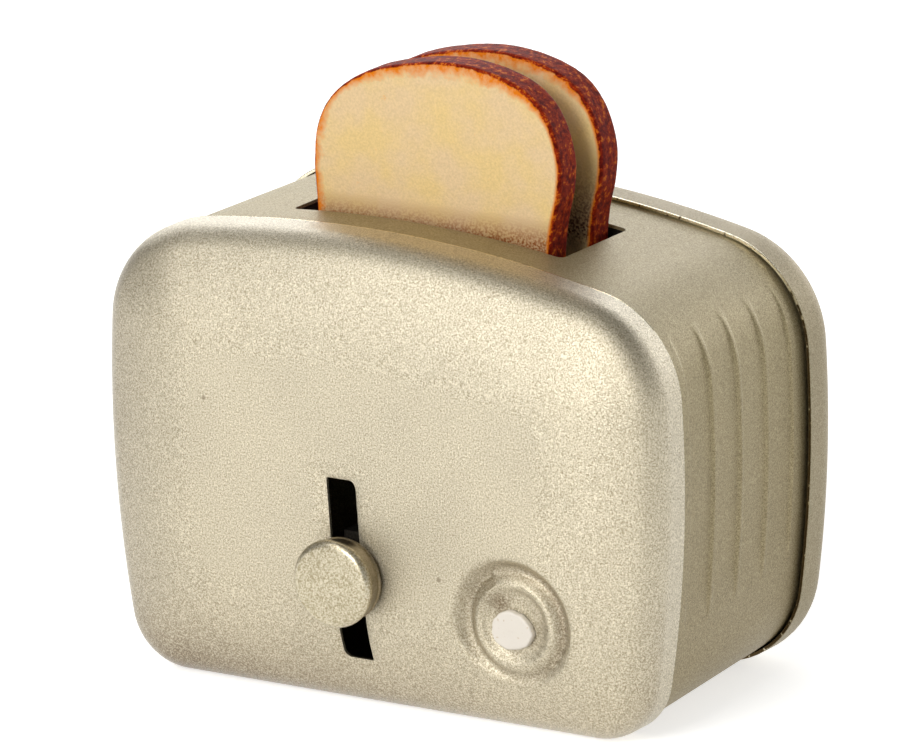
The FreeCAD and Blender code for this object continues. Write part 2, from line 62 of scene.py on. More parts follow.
def make_piece(name, bm, finishes, sharp_degrees=38):
    """Turn a mesh drawn in millimetres into an object of the frame with its finishes."""
    bm.transform(Matrix.Translation(FRAME_SHIFT))
    bm.transform(Matrix.Scale(MM, 4))
    mesh = bpy.data.meshes.new(name)
    bm.to_mesh(mesh)
    bm.free()
    for finish in finishes:
        mesh.materials.append(finish)
    mesh.shade_smooth()
    mesh.set_sharp_from_angle(angle=math.radians(sharp_degrees))
    piece = bpy.data.objects.new(name, mesh)
    bpy.context.scene.collection.objects.link(piece)
    print(name, "has", len(mesh.polygons), "faces")
    return piece


# %% [markdown]
# Seen from the front, the body is a rounded box: a flat crown arc, two tighter upper corners,
# sides that bulge a little, two lower corners and a straight floor. A closed row of points along
# these arcs is enough, because everything else follows from it: each cap is a stack of such rows
# that shrink towards its face, and the middle is one row drawn from front to back. The crown's
# highest point is 4.74 mm left of the middle, because the real toy was bent a little unevenly.

# %% The outline of the body
BODY_WIDTH = 55.0
BODY_HEIGHT = 40.5
CROWN_X = -4.74
CROWN_RADIUS = 115.0
SIDE_RADIUS = 112.0
SIDE_WIDEST_Z = 23.2
LEAST_CORNER = 3.0


def upper_meeting(centre_a, reach_a, centre_b, reach_b):
    """Upper point that lies reach_a from one centre and reach_b from the other."""
    link = centre_b - centre_a
    along = (reach_a ** 2 - reach_b ** 2 + link.length ** 2) / (2 * link.length)
    across = math.sqrt(reach_a ** 2 - along ** 2)
    unit = link.normalized()
    side = Vector((-unit.y, unit.x)) * across
    return max(centre_a + unit * along + side, centre_a + unit * along - side, key=lambda p: p.y)


def half_outline(form, inset, lean, counts):
    """Points (x, z) of the right half, from the crown's top at x = lean to the floor's middle."""
    width, top, bottom, high_corner, low_corner = form
    crown = CROWN_RADIUS - inset
    side = SIDE_RADIUS - inset
    high = max(high_corner - inset, LEAST_CORNER)
    low = max(low_corner - inset, LEAST_CORNER)
    floor = bottom + inset
    crown_centre = Vector((lean, top - CROWN_RADIUS))
    side_centre = Vector((width / 2 - SIDE_RADIUS, SIDE_WIDEST_Z))
    high_centre = upper_meeting(crown_centre, crown - high, side_centre, side - high)
    rise = SIDE_WIDEST_Z - floor - low
    low_x = side_centre.x + math.sqrt((side - low) ** 2 - rise ** 2)
    low_centre = Vector((low_x, floor + low))

    def turn(way):
        return math.atan2(way.y, way.x)

    arcs = [
        (crown_centre, crown, math.pi / 2, turn(high_centre - crown_centre)),
        (high_centre, high, turn(high_centre - crown_centre), turn(high_centre - side_centre)),
        (side_centre, side, turn(high_centre - side_centre), turn(low_centre - side_centre)),
        (low_centre, low, turn(low_centre - side_centre), -math.pi / 2),
    ]
    points = []
    for (centre, radius, start, end), count in zip(arcs, counts):
        for step in range(count):
            angle = start + (end - start) * step / count
            points.append(centre + Vector((math.cos(angle), math.sin(angle))) * radius)
    for step in range(counts[-1]):
        points.append(Vector((low_x * (1 - step / counts[-1]), floor)))
    return points


def outline(form, inset, counts):
    """Closed row of points round a form, inset mm inside it."""
    right = half_outline(form, inset, CROWN_X, counts)
    left = half_outline(form, inset, -CROWN_X, counts)
    left = [Vector((-point.x, point.y)) for point in left]
    return right + [Vector((0, form[2] + inset))] + left[:0:-1]


FRONT_FORM = (BODY_WIDTH, BODY_HEIGHT, 0, 9.2, 5.6)
REAR_FORM = (BODY_WIDTH, BODY_HEIGHT, 0, 9.8, 8.7)
CAP_COUNTS = (50, 22, 80, 14, 60)
print("front outline:", len(outline(FRONT_FORM, 0, CAP_COUNTS)), "points")

# %% [markdown]
# Colours are written as the hex values that an image program shows. Shaders work with linear
# light, so one function turns a hex value into linear numbers. A second small function adds a
# shader node, with its own settings and whatever is linked into it. A few short ones name what
# every finish needs: a noise with grains of a known size, a ramp between two levels, a mix of
# two colours, a sum and a relief. Each finish below then reads like a recipe.

# %% Colours and nodes
def linear(code):
    """Linear RGBA of a hex colour."""
    parts = [int(code[i:i + 2], 16) / 255 for i in (1, 3, 5)]
    return [((c + 0.055) / 1.055) ** 2.4 if c > 0.04045 else c / 12.92 for c in parts] + [1]


def wire(tree, node, inputs):
    """Give each named input of a node its value, or link the given socket into it."""
    for key, value in inputs.items():
        if isinstance(value, bpy.types.NodeSocket):
            tree.links.new(value, node.inputs[key])
        else:
            node.inputs[key].default_value = value


def add(tree, kind, inputs, **settings):
    """Add a shader node: inputs are values or sockets, settings are the node's own choices."""
    new = tree.nodes.new("ShaderNode" + kind)
    for key, value in settings.items():
        setattr(new, key, value)
    wire(tree, new, inputs)
    return new


def new_finish(name):
    """Empty material: its tree, its shader and the object's own coordinates in metres."""
    finish = bpy.data.materials.new(name)
    finish.use_nodes = True
    tree = finish.node_tree
    shader = tree.nodes["Principled BSDF"]
    place = add(tree, "TexCoord", {}).outputs["Object"]
    return finish, tree, shader, place


# Numbers of the sockets of a Mix node that blends two colours.
FACTOR, FIRST, SECOND, BLEND = 0, 6, 7, 2
print("champagne gold as linear light:", [round(c, 3) for c in linear("#CFC6A6")])

# %% Short names for what every finish needs
def speckle(tree, place, grain_mm, detail=2.0, roughness=0.5):
    """Noise from 0 to 1 whose grains are about grain_mm wide."""
    return add(tree, "TexNoise", {"Vector": place, "Scale": 1 / (grain_mm * MM),
                                  "Detail": detail, "Roughness": roughness}).outputs["Fac"]


def ramp(tree, value, start, end, low=0.0, high=1.0):
    """Value that goes from low at start to high at end, and stays level beyond both."""
    return add(tree, "MapRange", {"Value": value, "From Min": start, "From Max": end,
                                  "To Min": low, "To Max": high}).outputs[0]


def mixed(tree, share, first, second):
    """Colour between two hex colours or sockets: the first at share 0, the second at 1."""
    pair = [linear(colour) if isinstance(colour, str) else colour for colour in (first, second)]
    return add(tree, "Mix", {FACTOR: share, FIRST: pair[0], SECOND: pair[1]},
               data_type="RGBA").outputs[BLEND]


def reckon(tree, operation, first, second, clamp=False):
    """Sum, product or other operation on two values."""
    return add(tree, "Math", {0: first, 1: second}, operation=operation,
               use_clamp=clamp).outputs[0]


def scaled(tree, colour, share):
    """Colour made lighter or darker by a share."""
    return add(tree, "VectorMath", {0: colour, "Scale": share}, operation="SCALE").outputs[0]


def raised(tree, height, strength, relief_mm):
    """Direction of a surface with a relief of relief_mm."""
    return add(tree, "Bump", {"Height": height, "Strength": strength,
                              "Distance": relief_mm * MM}).outputs[0]


print("a grain of 0.15 mm is a noise scale of", round(1 / (0.15 * MM)))

# %% [markdown]
# The sheet is tinned steel sprayed with a champagne gold metallic lacquer. Its metal flakes dry
# as specks of about 0.15 mm that are lighter where a flake lies flat and darker where it tilts.
# A noise texture whose scale is one over that size gives the specks, a second one about three
# times finer breaks them up, and both also drive the bump, so that colour and relief agree. Over
# the flakes lies clear varnish: it is colourless, so the strongest highlights are white although
# the metal is gold. The front cap was sprayed thickly and is grainy. The wrapped middle and the
# rear cap have a smoother coat with less varnish, and their darker, browner gold is painted
# shade. One recipe serves for all. Where the mesh carries painted shade, in the dial and along
# the edges, a speckled brown is laid over the colour, and four small marks of use on the front
# are stained in the same way, each by its distance from a point.

# %% Sprayed metallic lacquer
# Marks of use on the face, each with its x, z and radius in mm.
FACE_MARKS = ((7.6, 13.1, 0.3), (6.9, 6.9, 0.2), (17.8, 10.0, 0.2), (-15.5, 25.8, 0.3))
MARK_STRENGTH = 0.7
# Brown of the painted shade and of the marks of use.
SHADE_AND_MARK_BROWN = "#6E5A38"
CLOUD_MM = 9


def sprayed_lacquer(name, light, dark, grain_mm, relief_mm, roughness, metallic, varnish, marks):
    """Metallic lacquer with specks of the given size under clear varnish."""
    finish, tree, shader, place = new_finish(name)
    specks = speckle(tree, place, grain_mm, 2.0, 0.65)
    fine = speckle(tree, place, grain_mm / 3, 1.0)
    both = reckon(tree, "ADD", specks, fine)
    level = ramp(tree, both, 0.76, 1.24)
    shade = ramp(tree, speckle(tree, place, CLOUD_MM), 0.3, 0.7, 0.95, 1.04)
    tint = scaled(tree, mixed(tree, level, dark, light), shade)
    # Painted shade that the mesh carries, speckled, in brown; the marks of use below are real
    # stains.
    painted_shade = add(tree, "Attribute", {}, attribute_name="painted_shade").outputs["Fac"]
    speckled = ramp(tree, specks, 0.35, 0.6, 1.3, 0.5)
    shade_and_marks = reckon(tree, "MULTIPLY", painted_shade, speckled, clamp=True)
    flat = add(tree, "VectorMath", {0: place, 1: (1, 0, 1)}, operation="MULTIPLY").outputs[0]
    for x, z, radius in marks:
        away = add(tree, "VectorMath", {0: flat, 1: (x * MM, 0, z * MM)}, operation="DISTANCE")
        mark = ramp(tree, away.outputs["Value"], radius * MM, radius * MM / 3, 0.0, MARK_STRENGTH)
        shade_and_marks = reckon(tree, "MAXIMUM", shade_and_marks, mark)
    peel = raised(tree, both, 0.7, relief_mm)
    wire(tree, shader, {"Base Color": mixed(tree, shade_and_marks, tint, SHADE_AND_MARK_BROWN),
                        "Roughness": ramp(tree, level, 0, 1, roughness + 0.06, roughness - 0.06),
                        "Metallic": metallic,
                        "Normal": peel,
                        "Coat Normal": peel,
                        "Coat Weight": varnish,
                        "Coat Roughness": 0.3,
                        "Coat IOR": 1.8})
    print(name, "has specks of", grain_mm, "mm")
    return finish


cap_lacquer = sprayed_lacquer("champagne_lacquer_thick", "#E6DCC3", "#887956",
                              0.15, 0.045, 0.35, 0.8, 0.6, FACE_MARKS)
# Darker, browner copies of the gold for the band and the rear cap are painted shade; their coat is
# also smoother, with less varnish.
shaded_band_lacquer = sprayed_lacquer("champagne_lacquer_band_shaded", "#BBAD87", "#7F714D",
                               0.15, 0.03, 0.5, 0.6, 0.15, ())
shaded_rear_lacquer = sprayed_lacquer("champagne_lacquer_rear_shaded", "#B3A586", "#7E714E",
                               0.15, 0.03, 0.5, 0.55, 0.15, ())

# %% [markdown]
# Where the sheet was trimmed after drawing, its raw edge shows as a narrow bright line of tin
# with dark specks of old flux and dirt in it. Bare tin inside the toy is duller and a little
# scratched along the rolling direction, and its colour is painted nearly black as painted shade
# inside the toy. Both are metals, so their colour is the reflection's colour and the roughness
# does most of the work. The scratches are a noise stretched 20 times. Down the sides of the seam
# the edge turns brown from 34.5 mm down to 31 mm: painted shade on the side edges.

# %% Bare tin
SCRATCH_MM = 0.15
SCRATCH_STRETCH = 20
FLUX_AND_SHADE_BROWN = "#5A4A30"
SIDE_SHADE_FROM_MM, SIDE_SHADE_FULL_MM = 34.5, 31


def bare_tin(name, bright, dull, speck_mm, dirt, edge_side_shade, roughness):
    """Tinned steel with rolling scratches, dark specks and a brown painted shade down the sides."""
    finish, tree, shader, place = new_finish(name)
    stretched = add(tree, "Mapping", {"Vector": place, "Scale": (1, 1 / SCRATCH_STRETCH, 1)})
    rolled = speckle(tree, stretched.outputs[0], SCRATCH_MM)
    metal = mixed(tree, ramp(tree, rolled, 0.35, 0.65), dull, bright)
    height = add(tree, "SeparateXYZ", {"Vector": place}).outputs["Z"]
    # Painted shade: the edge turns brown down the sides, from 34.5 mm to 31 mm.
    side = ramp(tree, height, SIDE_SHADE_FROM_MM * MM, SIDE_SHADE_FULL_MM * MM, 0.0, edge_side_shade)
    soil_and_shade = reckon(tree, "ADD", speckle(tree, place, speck_mm, 3.0), side)
    spot = ramp(tree, soil_and_shade, dirt, dirt + 0.06)
    wire(tree, shader, {"Base Color": mixed(tree, spot, metal, FLUX_AND_SHADE_BROWN),
                        "Normal": raised(tree, rolled, 0.3, 0.01),
                        "Metallic": 0.9,
                        "Roughness": roughness})
    return finish


raw_edge = bare_tin("raw_tin_edge", "#FFF8E4", "#D6CBA8", 0.5, 0.62, 0.3, 0.25)
# Nearly black tin inside the toy: painted shade.
shade_dark_inner_tin = bare_tin("bare_tinplate_shade_dark", "#45413A", "#2E2B25", 0.8, 0.66, 0, 0.45)
print("bare tin:", raw_edge.name, "and", shade_dark_inner_tin.name)

# %% [markdown]
# A drawn cap has three zones: a straight skirt, a tight round edge and a gentle pillow that
# flattens towards the middle of the face. The profile below gives, for an angle round that
# bend, how far a row lies inside the outline and how deep it lies beyond the skirt's mouth.
# The sheet is 0.3 mm thick, and at the mouth both its sides and its raw edge can be seen, so
# the stack of rows starts inside the skirt, goes round the edge and then over the face.

# %% The profile of a cap
SHEET = 0.3
HALF_SHOWN = 10.4
SKIRT = 2.0
EDGE_RADIUS = 3.2
EDGE_ANGLE = math.radians(65)
PILLOW_RADIUS = 21.3
MOUTH_ROUND = 0.04
WORN_DEPTH = 0.12
INNER_DEPTH = 1.6
CAP_DEPTH = SKIRT + PILLOW_RADIUS - (PILLOW_RADIUS - EDGE_RADIUS) * math.sin(EDGE_ANGLE)
FACE_Y = -HALF_SHOWN - CAP_DEPTH


def cap_profile(edge_steps, pillow_steps):
    """Rows as (inset, depth) from inside the mouth to the flat middle of the face."""
    rows = [(SHEET, INNER_DEPTH), (SHEET, INNER_DEPTH / 2), (SHEET, MOUTH_ROUND),
            (SHEET - MOUTH_ROUND, 0), (MOUTH_ROUND, 0), (0, MOUTH_ROUND), (0, WORN_DEPTH)]
    rows += [(0, SKIRT * step / 3) for step in range(1, 3)]
    for step in range(edge_steps):
        angle = EDGE_ANGLE * step / edge_steps
        rows.append((EDGE_RADIUS * (1 - math.cos(angle)), SKIRT + EDGE_RADIUS * math.sin(angle)))
    for step in range(pillow_steps + 1):
        angle = EDGE_ANGLE + (math.pi / 2 - EDGE_ANGLE) * step / pillow_steps
        spread = PILLOW_RADIUS - EDGE_RADIUS
        rows.append((EDGE_RADIUS + spread * math.cos(EDGE_ANGLE) - PILLOW_RADIUS * math.cos(angle),
                     SKIRT - spread * math.sin(EDGE_ANGLE) + PILLOW_RADIUS * math.sin(angle)))
    return rows


print("the face lies", round(-FACE_Y, 2), "mm in front of the middle")

# %% [markdown]
# The dial was pressed into the front with a turned tool: a rim that slopes in, a round groove, a
# raised ridge and a flat dish for the dab of enamel. Its depth depends only on the distance
# from its middle, so it needs no mesh of its own: the face's points are pushed in by that
# depth. Where the tool only just touches the sheet, real sheet bends over in a soft curve, and
# a smooth maximum of sheet and tool gives that curve.

# %% The pressed dial
DIAL = Vector((14.6, 10.0))
DIAL_KNOTS = ((0, 0.95), (2.6, 0.95), (3.55, 0.38), (4.6, 1.1))
DIAL_RIM = 5.85
RIM_RISE, RIM_CURVE = 1.35, 1.9
BEND_BLEND = 0.35
# Middle of the painted shade in the dial's dish, measured from the dial's middle.
SHADE_IN_DISH = Vector((-1.75, 1.75))


def tool_depth(radius):
    """Depth of the pressing tool behind the flat of the face, in mm."""
    if radius >= DIAL_KNOTS[-1][0]:
        out = (radius - DIAL_KNOTS[-1][0]) / (DIAL_RIM - DIAL_KNOTS[-1][0])
        return DIAL_KNOTS[-1][1] - RIM_RISE * out ** RIM_CURVE
    for (r0, d0), (r1, d1) in zip(DIAL_KNOTS, DIAL_KNOTS[1:]):
        if radius < r1:
            share = (radius - r0) / (r1 - r0)
            return d0 + (d1 - d0) * (3 - 2 * share) * share ** 2


def soft_max(a, b, blend):
    """The larger of two depths, rounded where they meet."""
    share = max(0, min(1, 0.5 + (a - b) / (2 * blend)))
    return b + (a - b) * share + blend * share * (1 - share)


def press_dial(point):
    """Push a point of the front face in where the dial is."""
    radius = (Vector((point.x, point.z)) - DIAL).length
    if radius < DIAL_RIM + 2:
        point.y = FACE_Y + soft_max(tool_depth(radius), point.y - FACE_Y, BEND_BLEND)


def hill(distance, middle, half_width):
    """Smooth hill: 1 where the distance is the middle, nearly 0 two half widths from there."""
    return math.exp(-((distance - middle) / half_width) ** 2)


def shade_share(point):
    """Share of painted shade at a point: on the dial's walls, in its dish, and along the face's
    edges.
    """
    arm = Vector((point.x, point.z)) - DIAL
    turn = math.atan2(arm.y, arm.x)
    upper_left = (0.5 + 0.5 * math.cos(turn - math.radians(140))) ** 2
    right_side = (0.5 + 0.5 * math.cos(turn + math.radians(5))) ** 2
    groove = 0.5 * upper_left * hill(arm.length, 4.7, 0.9)
    groove += 0.85 * right_side * hill(arm.length, 4.5, 0.45)
    spot = 0.9 * hill((arm - SHADE_IN_DISH).length, 0, 0.95)
    ring = 0.3 * hill(arm.length, 2.2, 0.35)
    left_edge = 0.62 * math.exp(-(point.x + BODY_WIDTH / 2) / 4)
    leftward = max(0, min(1, 0.5 - point.x / 40))
    low_edge = (0.4 + 1.0 * leftward) * math.exp(-point.z / 3.6)
    right_edge = 0.9 * math.exp((point.x - BODY_WIDTH / 2) / 1.5) * max(0, 1 - point.z / 14)
    return groove + spot + ring + left_edge + low_edge + right_edge


print("the groove is", DIAL_KNOTS[-1][1], "mm deep at", DIAL_KNOTS[-1][0], "mm")

# %% [markdown]
# The lever's slot was punched a little out of true: it leans 3 degrees, and two of its corners
# are rounder than the others. A punch also draws the sheet in around its hole, which shows as a
# soft bright line along the slot's left side. To cut a hole with a clean edge, the mesh is first
# sliced along each side of the hole, then the faces inside are taken out, and last the new edge
# is drawn in by the thickness of the sheet.

# %% Holes with clean edges
def rounded_corners(corners, radii, steps):
    """Closed row of points along a polygon whose corners are rounded."""
    row = []
    for i, here in enumerate(corners):
        before = (corners[i - 1] - here).normalized()
        after = (corners[(i + 1) % len(corners)] - here).normalized()
        half = before.angle(after) / 2
        centre = here + (before + after).normalized() * (radii[i] / math.sin(half))
        start = here + before * (radii[i] / math.tan(half)) - centre
        end = here + after * (radii[i] / math.tan(half)) - centre
        sweep = start.angle_signed(end)
        for step in range(steps + 1):
            row.append(centre + Matrix.Rotation(-sweep * step / steps, 2) @ start)
    return row


def inside(point, row):
    """Whether a point lies in a closed row of points."""
    hit = False
    for a, b in zip(row, row[1:] + row[:1]):
        if (a.y > point.y) != (b.y > point.y):
            if point.x < a.x + (point.y - a.y) * (b.x - a.x) / (b.y - a.y):
                hit = not hit
    return hit


def cut_hole(bm, row, plane, may_cut, wall):
    """Cut a hole along a row of points in the plane of two axes, and draw its edge in."""
    u, v = plane
    low = Vector((min(p.x for p in row), min(p.y for p in row)))
    high = Vector((max(p.x for p in row), max(p.y for p in row)))

    def flat(face):
        middle = face.calc_center_median()
        return Vector((middle[u], middle[v]))

    def near(face):
        spot = flat(face)
        return low.x - 1 < spot.x < high.x + 1 and low.y - 1 < spot.y < high.y + 1

    for a, b in zip(row, row[1:] + row[:1]):
        faces = [f for f in bm.faces if may_cut(f) and near(f)
                 and (flat(f) - (a + b) / 2).length < (b - a).length / 2 + 0.6]
        geometry = set(faces)
        for face in faces:
            geometry.update(face.edges)
            geometry.update(face.verts)
        spot = Vector((0, 0, 0))
        spot[u], spot[v] = a
        normal = Vector((0, 0, 0))
        normal[u], normal[v] = b.y - a.y, a.x - b.x
        bmesh.ops.bisect_plane(bm, geom=list(geometry), plane_co=spot, plane_no=normal, dist=0.001)
    gone = [f for f in bm.faces if may_cut(f) and near(f) and inside(flat(f), row)]
    rims = {e for f in gone for e in f.edges}
    bmesh.ops.delete(bm, geom=gone, context="FACES")
    rims = [e for e in rims if e.is_valid and len(e.link_faces) == 1]
    drawn = bmesh.ops.extrude_edge_only(bm, edges=rims)["geom"]
    bmesh.ops.translate(bm, verts=[g for g in drawn if isinstance(g, bmesh.types.BMVert)], vec=wall)
    print("hole with", len(rims), "edges")


SLOT_X, SLOT_Z = -1.62, 12.55
SLOT_WIDTH, SLOT_LENGTH = 2.85, 15.8
SLOT_LEAN = math.radians(3.2)
SLOT_CORNERS = (0.7, 0.15, 0.7, 0.15)
CORNER_STEPS = 5
lean_x = math.tan(SLOT_LEAN) * SLOT_LENGTH / 2
half_x = SLOT_WIDTH / 2 / math.cos(SLOT_LEAN)
slot_corners = [Vector((SLOT_X + side * lean_x + hand * half_x, SLOT_Z - side * SLOT_LENGTH / 2))
                for side, hand in ((1, -1), (1, 1), (-1, 1), (-1, -1))]
slot_row = rounded_corners(slot_corners, SLOT_CORNERS, CORNER_STEPS)
print("slot from", [round(c, 2) for c in slot_row[0]], "with", len(slot_row), "points")

# %% [markdown]
# The front cap is now a stack of rows: the profile gives inset and depth, the outline gives the
# points of each row, and inside the last row the flat middle is filled by the same row shrunk
# towards a point. Faces are laid between neighbouring rows. The rows are 0.3 mm apart on the
# face, which is fine enough for the dial's ridge.

# %% The front cap
FACE_MIDDLE_Z = 20.3
FACE_ONLY_Y = -15
SLOT_DRAW, SLOT_DRAW_REACH = 0.26, 0.45


def stack_rows(bm, rows, closing):
    """Lay faces between closed rows of points; the last row may close on one point."""
    rings = [[bm.verts.new(point) for point in row] for row in rows]
    count = len(rings[0])
    for near_ring, far_ring in zip(rings, rings[1:]):
        for i in range(count):
            j = (i + 1) % count
            bm.faces.new((near_ring[i], near_ring[j], far_ring[j], far_ring[i]))
    if closing is not None:
        tip = bm.verts.new(closing)
        for i in range(count):
            bm.faces.new((rings[-1][i], rings[-1][(i + 1) % count], tip))


def slot_distance(x, z):
    """Rough distance outside the slot's straight sides, in mm."""
    centre = SLOT_X - (z - SLOT_Z) * math.tan(SLOT_LEAN)
    return max(abs(x - centre) - SLOT_WIDTH / 2, abs(z - SLOT_Z) - SLOT_LENGTH / 2, 0)


def build_cap(form, edge_steps, pillow_steps, middle_steps, counts):
    """Mesh of a cap that faces forward, before its holes are cut."""
    bm = bmesh.new()
    rows = []
    for inset, depth in cap_profile(edge_steps, pillow_steps):
        rows.append([Vector((p.x, -HALF_SHOWN - depth, p.y)) for p in outline(form, inset, counts)])
    middle = Vector((0, rows[-1][0].y, FACE_MIDDLE_Z))
    last = rows[-1]
    for step in range(1, middle_steps):
        rows.append([point.lerp(middle, step / middle_steps) for point in last])
    stack_rows(bm, rows, middle)
    return bm


front = build_cap(FRONT_FORM, 14, 30, 36, CAP_COUNTS)
# Painted shade per point: on the dial's walls and dish, and along the face's edges.
painted_shade = front.verts.layers.float.new("painted_shade")
for vertex in front.verts:
    if vertex.co.y < -HALF_SHOWN - SKIRT:
        press_dial(vertex.co)
        vertex[painted_shade] = shade_share(vertex.co)
        away = slot_distance(vertex.co.x, vertex.co.z)
        vertex.co.y += SLOT_DRAW * math.exp(-away / SLOT_DRAW_REACH)
cut_hole(front, slot_row, (0, 2), lambda f: f.calc_center_median().y < FACE_ONLY_Y,
         Vector((0, SHEET, 0)))
bmesh.ops.recalc_face_normals(front, faces=front.faces)
front_cap = make_piece("front_cap", front, [cap_lacquer, raw_edge])

# %% [markdown]
# The raw edge at the mouth gets the tin finish, and so does the last 0.1 mm of the outside along
# the top, where the lacquer is worn off. The faces are found by their distance from the mouth's
# plane.

# %% Raw edges and what the caps replace
MOUTH_BAND = 0.01
WORN_BAND = 0.1
WORN_ABOVE = 35


def mark_raw_edge(cap, side):
    """Give the faces in the mouth's plane the second finish."""
    mouth = (side * HALF_SHOWN + FRAME_SHIFT.y) * MM
    count = 0
    for face in cap.data.polygons:
        reach = WORN_BAND if face.center.z > WORN_ABOVE * MM else MOUTH_BAND
        if abs(face.center.y - mouth) < reach * MM:
            face.material_index = 1
            count += 1
    print(cap.name, "has", count, "faces on its raw edge")


mark_raw_edge(front_cap, -1)
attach(front_cap, "body")
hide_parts("front_shell")

rear = build_cap(REAR_FORM, 12, 12, 6, CAP_COUNTS)
for vertex in rear.verts:
    vertex.co.y = -vertex.co.y
bmesh.ops.recalc_face_normals(rear, faces=rear.faces)
rear_cap = make_piece("rear_cap", rear, [shaded_rear_lacquer, raw_edge])
mark_raw_edge(rear_cap, 1)
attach(rear_cap, "body")
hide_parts("rear_shell")

# %% [markdown]
# The middle is a sheet wrapped round into a tube. It sits tight in the front cap and looser in
# the rear cap, which leaves a dark gap down the right side. Four flutes are rolled into each of
# its sides. Each is a shallow trough with round ends that run out softly, so its depth depends
# on the distance from the trough's middle line and from its ends, and the mesh is pushed in by
# that depth along its own outward direction. The same speckled brown as on the face darkens the
# sides towards the floor: painted shade.

# %% The fluted band
HALF_BAND = HALF_SHOWN + 1.5
BAND_FRONT_FORM = (BODY_WIDTH - 0.7, BODY_HEIGHT - 0.35, 0.35, 8.85, 5.25)
BAND_REAR_FORM = (BODY_WIDTH - 1.4, BODY_HEIGHT - 0.36, 0.35, 9.44, 8.35)
BAND_COUNTS = (44, 34, 90, 14, 20)
FLUTE_LOW_Z = (8.9, 9.33, 9.76, 10.19)
FLUTE_HIGH_Z = 34.6
FLUTE_PITCH = 4.45
FLUTE_HALF = 2.025
FLUTE_DEPTH = 0.26
FLUTES_MIDDLE_Y = -0.1
FLUTE_ROUND_END = FLUTE_HALF * 0.6
FLUTE_FADE = 3.5
FLUTE_WALL_POWER = 14
FLUTED_BEYOND_X = 18


def flute_depth(y, z):
    """How far a point of the band's side is pressed in, in mm."""
    depth = 0
    for index, low_z in enumerate(FLUTE_LOW_Z):
        middle_y = FLUTES_MIDDLE_Y + (index - 1.5) * FLUTE_PITCH
        beyond = max(low_z + FLUTE_ROUND_END - z, z - FLUTE_HIGH_Z + FLUTE_ROUND_END, 0)
        share = math.hypot(y - middle_y, beyond) / FLUTE_HALF
        if share < 1:
            fade = max(0, min(1, (FLUTE_HIGH_Z - z) / FLUTE_FADE, (z - low_z) / FLUTE_FADE))
            depth = max(depth, FLUTE_DEPTH * fade * (1 - share ** FLUTE_WALL_POWER))
    return depth


band = bmesh.new()
band_rows = []
BAND_STEPS = 180
for step in range(BAND_STEPS + 1):
    y = -HALF_BAND + 2 * HALF_BAND * step / BAND_STEPS
    form = [a + (b - a) * step / BAND_STEPS for a, b in zip(BAND_FRONT_FORM, BAND_REAR_FORM)]
    row = outline(form, 0, BAND_COUNTS)
    pressed = []
    for i, point in enumerate(row):
        along = row[(i + 1) % len(row)] - row[i - 1]
        outward = Vector((-along.y, along.x)).normalized()
        depth = flute_depth(y, point.y) if abs(point.x) > FLUTED_BEYOND_X else 0
        spot = point - outward * depth
        pressed.append(Vector((spot.x, y, spot.y)))
    band_rows.append(pressed)
stack_rows(band, band_rows, None)

OPENING_CORNER = 0.6
CROWN_ONLY_Z = 30
opening_corners = [Vector(c) for c in ((-13.6, -5.8), (13.1, -5.8), (13.1, 4.9), (-13.6, 4.9))]
opening_row = rounded_corners(opening_corners, (OPENING_CORNER,) * 4, CORNER_STEPS)
cut_hole(band, opening_row, (0, 1), lambda f: f.calc_center_median().z > CROWN_ONLY_Z,
         Vector((0, 0, -SHEET)))
bmesh.ops.recalc_face_normals(band, faces=band.faces)
# Painted shade: the band grows darker towards the floor, below 30 mm.
FOOT_SHADE, SHADE_HEIGHT = 0.32, 30
painted_shade = band.verts.layers.float.new("painted_shade")
for vertex in band.verts:
    vertex[painted_shade] = FOOT_SHADE * max(0, 1 - vertex.co.z / SHADE_HEIGHT)
fluted_band = make_piece("fluted_band", band, [shaded_band_lacquer])
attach(fluted_band, "body")
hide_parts("body_band")

# %% [markdown]
# The button is pressed from sheet like a small lid: a face that domes a little, a rolled edge,
# a side that tapers and a thin brim at its back. A turned shape needs only its profile, spun
# round the stem's axis. Its coat is the same gold but smoother, so that it shines. Its side turns
# dark brown towards the back, as painted shade and a painted reflection of the dark slot, which
# the depth along Y tells.

# %% The button's finish
SIDE_SHADE_FROM_Y, SIDE_SHADE_FULL_Y = -18.15, -17.75

button_gold, tree, shader, place = new_finish("smooth_gold_lacquer")
dust = speckle(tree, place, 0.16, 3.0)
gold = mixed(tree, ramp(tree, dust, 0.35, 0.65), "#9C9072", "#D4CBB4")
depth = add(tree, "SeparateXYZ", {"Vector": place}).outputs["Y"]
# Painted shade and painted reflection: the side turns dark brown towards the back.
knob_side_shade = ramp(tree, depth, SIDE_SHADE_FROM_Y * MM, SIDE_SHADE_FULL_Y * MM, 0.0, 0.75)
wide = speckle(tree, place, 1.5, 3.0)
wire(tree, shader, {"Base Color": mixed(tree, knob_side_shade, gold, "#6B5C40"),
                    "Roughness": ramp(tree, wide, 0, 1, 0.26, 0.4),
                    "Normal": raised(tree, dust, 0.5, 0.02),
                    "Metallic": 0.9})
# The side is painted darker from this depth back: painted shade and reflection.
print("the button's coat thins behind y =", SIDE_SHADE_FROM_Y, "mm")

# %% The button
STEM = Vector((-1.4, 0, 12.1))
KNOB_BACK = FACE_Y - 0.45
KNOB_FRONT = KNOB_BACK - 2.65
COLLAR_RADIUS = 1.95
BACK_RADIUS = 3.5
BRIM_RADIUS = 3.6
FACE_RADIUS = 3.8
DOME, EDGE = 0.2, 0.65
SIDE_Y = KNOB_FRONT + DOME + EDGE
SIDE_START_Y = KNOB_BACK - 0.4
KNOB_SEGMENTS = 96


